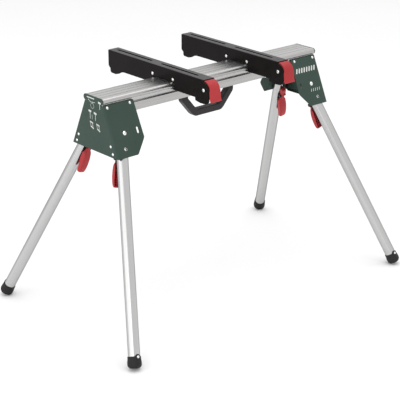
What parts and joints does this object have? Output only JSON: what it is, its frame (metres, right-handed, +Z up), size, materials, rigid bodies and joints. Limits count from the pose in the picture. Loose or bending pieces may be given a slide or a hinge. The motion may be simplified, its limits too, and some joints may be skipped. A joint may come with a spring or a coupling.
{
  "type": "mitre saw stand",
  "caption": "Folding work stand for a mitre saw: aluminium beam, four folding tube legs with lock levers, and two clamped crossbars with bolt slots.",
  "frame": {"origin": "on the floor under the middle of the beam", "axes": "+X along the beam, -Y towards the clamp levers (front), +Z up"},
  "size_m": [1.329, 0.7974, 0.8586],
  "materials": {
    "aluminium": "extruded, clear anodised",
    "green_sheet": "fine-textured powder coat, dark green",
    "black_sheet": "satin powder coat, black",
    "black_plastic": "matte moulded",
    "rubber": "matte",
    "red_plastic": "satin moulded",
    "zinc_steel": "zinc plated",
    "bright_steel": "bright zinc plated"
  },
  "bodies": {
    "stand": {"beam": "aluminium", "left_end_bracket": "green_sheet", "right_end_bracket": "green_sheet", "left_bracket_rivets": "bright_steel", "right_bracket_rivets": "bright_steel", "left_pivot_bolts": "bright_steel", "right_pivot_bolts": "bright_steel", "left_pivot_nuts": "bright_steel", "right_pivot_nuts": "bright_steel", "left_leg_stops": "black_plastic", "right_leg_stops": "black_plastic", "carry_handle": "black_plastic", "handle_screws": "bright_steel"},
    "front_left_leg": {"front_left_leg_tube": "aluminium", "front_left_foot": "rubber", "front_left_leg_rivets": "bright_steel", "front_left_lever_mount": "black_sheet", "front_left_fulcrum_pin": "bright_steel", "front_left_lock_spring": "bright_steel"},
    "front_left_lever": {"front_left_release_lever": "red_plastic"},
    "front_left_pin": {"front_left_lock_pin": "bright_steel"},
    "rear_left_leg": {"rear_left_leg_tube": "aluminium", "rear_left_foot": "rubber", "rear_left_leg_rivets": "bright_steel", "rear_left_lever_mount": "black_sheet", "rear_left_fulcrum_pin": "bright_steel", "rear_left_lock_spring": "bright_steel"},
    "rear_left_lever": {"rear_left_release_lever": "red_plastic"},
    "rear_left_pin": {"rear_left_lock_pin": "bright_steel"},
    "front_right_leg": {"front_right_leg_tube": "aluminium", "front_right_foot": "rubber", "front_right_leg_rivets": "bright_steel", "front_right_lever_mount": "black_sheet", "front_right_fulcrum_pin": "bright_steel", "front_right_lock_spring": "bright_steel"},
    "front_right_lever": {"front_right_release_lever": "red_plastic"},
    "front_right_pin": {"front_right_lock_pin": "bright_steel"},
    "rear_right_leg": {"rear_right_leg_tube": "aluminium", "rear_right_foot": "rubber", "rear_right_leg_rivets": "bright_steel", "rear_right_lever_mount": "black_sheet", "rear_right_fulcrum_pin": "bright_steel", "rear_right_lock_spring": "bright_steel"},
    "rear_right_lever": {"rear_right_release_lever": "red_plastic"},
    "rear_right_pin": {"rear_right_lock_pin": "bright_steel"},
    "left_crossbar": {"left_crossbar": "black_sheet", "left_crossbar_rivets": "bright_steel", "left_slide_pad": "black_plastic", "left_clamp_pin": "bright_steel"},
    "left_clamp": {"left_clamp_lever": "red_plastic"},
    "left_strap": {"left_push_strap": "zinc_steel"},
    "left_jaw": {"left_rear_jaw": "zinc_steel"},
    "right_crossbar": {"right_crossbar": "black_sheet", "right_crossbar_rivets": "bright_steel", "right_slide_pad": "black_plastic", "right_clamp_pin": "bright_steel"},
    "right_clamp": {"right_clamp_lever": "red_plastic"},
    "right_strap": {"right_push_strap": "zinc_steel"},
    "right_jaw": {"right_rear_jaw": "zinc_steel"}
  },
  "joints": [
    {"name": "front_left_leg_fold", "type": "hinge", "parent": "stand", "child": "front_left_leg", "pos_m": [-0.4435, -0.07332, 0.69036], "axis": [0, -0.9119, 0.4104], "range_deg": [0, 107.9]},
    {"name": "front_left_lever_squeeze", "type": "hinge", "parent": "front_left_leg", "child": "front_left_lever", "pos_m": [-0.46317, -0.07791, 0.61193], "axis": [-0.9659, 0.1062, 0.236], "range_deg": [0, 10], "stiffness_Nm_per_rad": 1.5, "springref_deg": -8.59},
    {"name": "front_left_pin_slide", "type": "slide", "parent": "front_left_leg", "child": "front_left_pin", "axis": [0, 0.9119, -0.4104], "range_m": [0, 0.0038]},
    {"name": "rear_left_leg_fold", "type": "hinge", "parent": "stand", "child": "rear_left_leg", "pos_m": [-0.4435, 0.07332, 0.69036], "axis": [0, -0.9119, -0.4104], "range_deg": [0, 107.9]},
    {"name": "rear_left_lever_squeeze", "type": "hinge", "parent": "rear_left_leg", "child": "rear_left_lever", "pos_m": [-0.46317, 0.07791, 0.61193], "axis": [0.9659, 0.1062, -0.236], "range_deg": [0, 10], "stiffness_Nm_per_rad": 1.5, "springref_deg": -8.59},
    {"name": "rear_left_pin_slide", "type": "slide", "parent": "rear_left_leg", "child": "rear_left_pin", "axis": [0, -0.9119, -0.4104], "range_m": [0, 0.0038]},
    {"name": "front_right_leg_fold", "type": "hinge", "parent": "stand", "child": "front_right_leg", "pos_m": [0.4435, -0.07332, 0.69036], "axis": [0, 0.9119, -0.4104], "range_deg": [0, 102.1]},
    {"name": "front_right_lever_squeeze", "type": "hinge", "parent": "front_right_leg", "child": "front_right_lever", "pos_m": [0.46317, -0.07791, 0.61193], "axis": [-0.9659, -0.1062, -0.236], "range_deg": [0, 10], "stiffness_Nm_per_rad": 1.5, "springref_deg": -8.59},
    {"name": "front_right_pin_slide", "type": "slide", "parent": "front_right_leg", "child": "front_right_pin", "axis": [0, 0.9119, -0.4104], "range_m": [0, 0.0038]},
    {"name": "rear_right_leg_fold", "type": "hinge", "parent": "stand", "child": "rear_right_leg", "pos_m": [0.4435, 0.07332, 0.69036], "axis": [0, 0.9119, 0.4104], "range_deg": [0, 102.1]},
    {"name": "rear_right_lever_squeeze", "type": "hinge", "parent": "rear_right_leg", "child": "rear_right_lever", "pos_m": [0.46317, 0.07791, 0.61193], "axis": [0.9659, -0.1062, 0.236], "range_deg": [0, 10], "stiffness_Nm_per_rad": 1.5, "springref_deg": -8.59},
    {"name": "rear_right_pin_slide", "type": "slide", "parent": "rear_right_leg", "child": "rear_right_pin", "axis": [0, -0.9119, -0.4104], "range_m": [0, 0.0038]},
    {"name": "left_crossbar_slide", "type": "slide", "parent": "stand", "child": "left_crossbar", "axis": [1, 0, 0], "range_m": [-0.165, 0.13]},
    {"name": "left_clamp_open", "type": "hinge", "parent": "left_crossbar", "child": "left_clamp", "pos_m": [-0.1689, -0.2038, 0.8228], "axis": [-1, 0, 0], "range_deg": [0, 75]},
    {"name": "left_strap_slide", "type": "slide", "parent": "left_crossbar", "child": "left_strap", "axis": [0, -1, 0], "range_m": [0, 0.005]},
    {"name": "left_jaw_turn", "type": "hinge", "parent": "left_crossbar", "child": "left_jaw", "pos_m": [-0.1689, 0.0649, 0.8247], "axis": [1, 0, 0], "range_deg": [0, 14.9]},
    {"name": "right_crossbar_slide", "type": "slide", "parent": "stand", "child": "right_crossbar", "axis": [1, 0, 0], "range_m": [-0.15, 0.15]},
    {"name": "right_clamp_open", "type": "hinge", "parent": "right_crossbar", "child": "right_clamp", "pos_m": [0.179, -0.2038, 0.8228], "axis": [-1, 0, 0], "range_deg": [0, 75]},
    {"name": "right_strap_slide", "type": "slide", "parent": "right_crossbar", "child": "right_strap", "axis": [0, -1, 0], "range_m": [0, 0.005]},
    {"name": "right_jaw_turn", "type": "hinge", "parent": "right_crossbar", "child": "right_jaw", "pos_m": [0.179, 0.0649, 0.8247], "axis": [1, 0, 0], "range_deg": [0, 14.9]}
  ],
  "couplings": [
    {"joint": "front_left_pin_slide", "follows": "front_left_lever_squeeze", "m_per_rad": 0.0217},
    {"joint": "rear_left_pin_slide", "follows": "rear_left_lever_squeeze", "m_per_rad": 0.0217},
    {"joint": "front_right_pin_slide", "follows": "front_right_lever_squeeze", "m_per_rad": 0.0217},
    {"joint": "rear_right_pin_slide", "follows": "rear_right_lever_squeeze", "m_per_rad": 0.0217},
    {"joint": "left_strap_slide", "follows": "left_clamp_open", "m_per_rad": 0.0038121},
    {"joint": "left_jaw_turn", "follows": "left_clamp_open", "ratio": 0.19733},
    {"joint": "right_strap_slide", "follows": "right_clamp_open", "m_per_rad": 0.0038121},
    {"joint": "right_jaw_turn", "follows": "right_clamp_open", "ratio": 0.19733}
  ]
}
